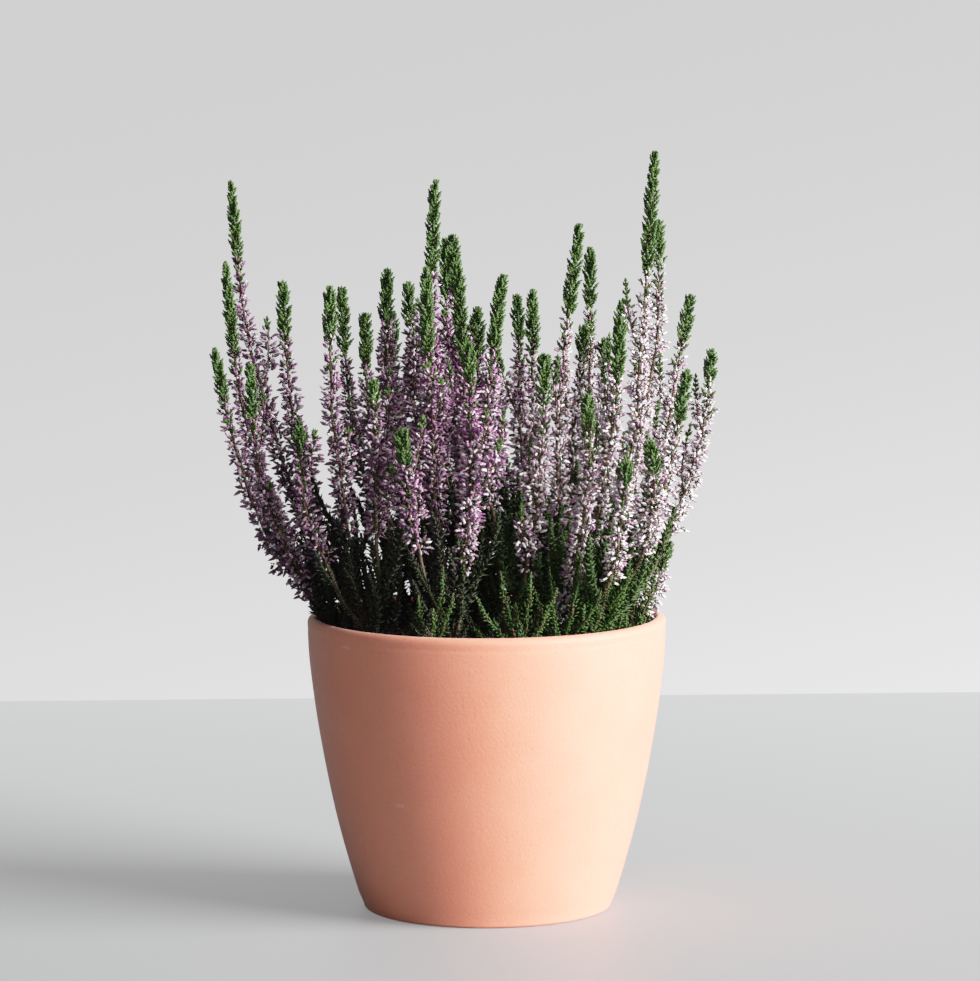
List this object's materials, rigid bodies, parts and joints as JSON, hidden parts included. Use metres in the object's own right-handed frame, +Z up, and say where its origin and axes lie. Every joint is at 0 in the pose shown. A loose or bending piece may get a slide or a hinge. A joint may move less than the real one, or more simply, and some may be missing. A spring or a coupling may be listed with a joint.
{
  "type": "potted heather",
  "caption": "Bud-flowering heather with upright pink spikes and green tips, growing in a plain terracotta pot.",
  "frame": {"origin": "centre of the pot's flat base, on the surface that it stands on", "axes": "+Z up along the pot's axis, +X to the right seen from the front, +Y to the back"},
  "size_m": [0.1976, 0.152, 0.297],
  "materials": {
    "terracotta": "unglazed pale peach terracotta, fine sandy grain, matte",
    "soil": "dark crumbly peat compost",
    "buds": "closed buds, pale pink to mauve, soft sheen, on thin reddish brown stems",
    "bark": "thin reddish brown woody stems with flaking bark",
    "leaves": "tiny scale leaves, mid green, soft sheen"
  },
  "bodies": {
    "root": {"flower_branch_01": "buds", "green_tip_01_1": "leaves", "green_tip_01_2": "leaves", "green_tip_01_3": "leaves", "flower_branch_02": "buds", "green_tip_02_1": "leaves", "green_tip_02_2": "leaves", "flower_branch_03": "buds", "green_tip_03_1": "leaves", "green_tip_03_2": "leaves", "green_tip_03_3": "leaves", "flower_branch_04": "buds", "green_tip_04_1": "leaves", "green_tip_04_2": "leaves", "flower_branch_05": "buds", "green_tip_05_1": "leaves", "green_tip_05_2": "leaves", "green_tip_05_3": "leaves", "flower_branch_06": "buds", "green_tip_06_1": "leaves", "green_tip_06_2": "leaves", "green_tip_06_3": "leaves", "flower_branch_07": "buds", "green_tip_07_1": "leaves", "green_tip_07_2": "leaves", "green_tip_07_3": "leaves", "green_tip_07_4": "leaves", "flower_branch_08": "buds", "green_tip_08_1": "leaves", "green_tip_08_2": "leaves", "green_tip_08_3": "leaves", "flower_branch_09": "buds", "green_tip_09_1": "leaves", "green_tip_09_2": "leaves", "green_tip_09_3": "leaves", "flower_branch_10": "buds", "green_tip_10_1": "leaves", "green_tip_10_2": "leaves", "green_tip_10_3": "leaves", "green_tip_10_4": "leaves", "flower_branch_11": "buds", "green_tip_11_1": "leaves", "green_tip_11_2": "leaves", "green_tip_11_3": "leaves", "green_tip_11_4": "leaves", "flower_branch_12": "buds", "green_tip_12_1": "leaves", "green_tip_12_2": "leaves", "green_tip_12_3": "leaves", "flower_branch_13": "buds", "green_tip_13_1": "leaves", "green_tip_13_2": "leaves", "green_tip_13_3": "leaves", "leafy_shoots_01": "leaves", "leafy_shoots_02": "leaves", "leafy_shoots_03": "leaves", "leafy_shoots_04": "leaves", "leafy_shoots_05": "leaves", "soil": "soil", "pot": "terracotta"}
  },
  "joints": []
}
